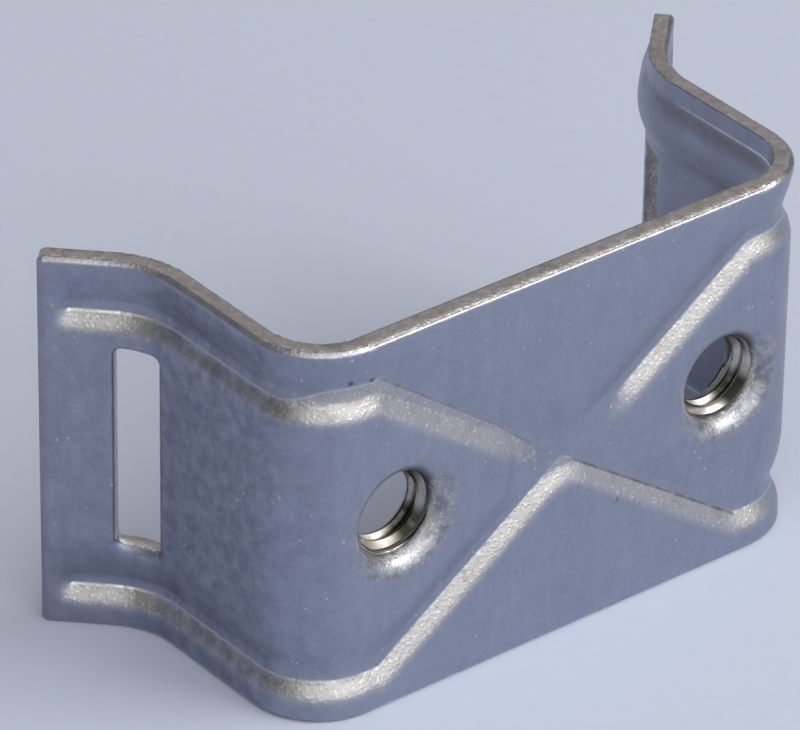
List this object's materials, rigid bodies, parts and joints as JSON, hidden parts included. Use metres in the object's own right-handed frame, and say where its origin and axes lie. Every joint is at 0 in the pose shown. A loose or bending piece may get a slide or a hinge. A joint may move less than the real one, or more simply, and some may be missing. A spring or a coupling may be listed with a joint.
{
  "type": "strap mounting bracket",
  "caption": "Stamped steel channel bracket with flared slotted legs for strapping to a mast, crossed stiffening beads and extruded screw holes.",
  "frame": {"origin": "middle of the bracket's plan, at the level of its lower long edge", "axes": "+X along the web, +Y from the web's outer face towards the lips, +Z across the strip's width"},
  "size_m": [0.0722, 0.0306, 0.038],
  "materials": {
    "steel": "dull satin as stamped, with a faint grain"
  },
  "bodies": {
    "root": {"bracket": "steel"}
  },
  "joints": []
}
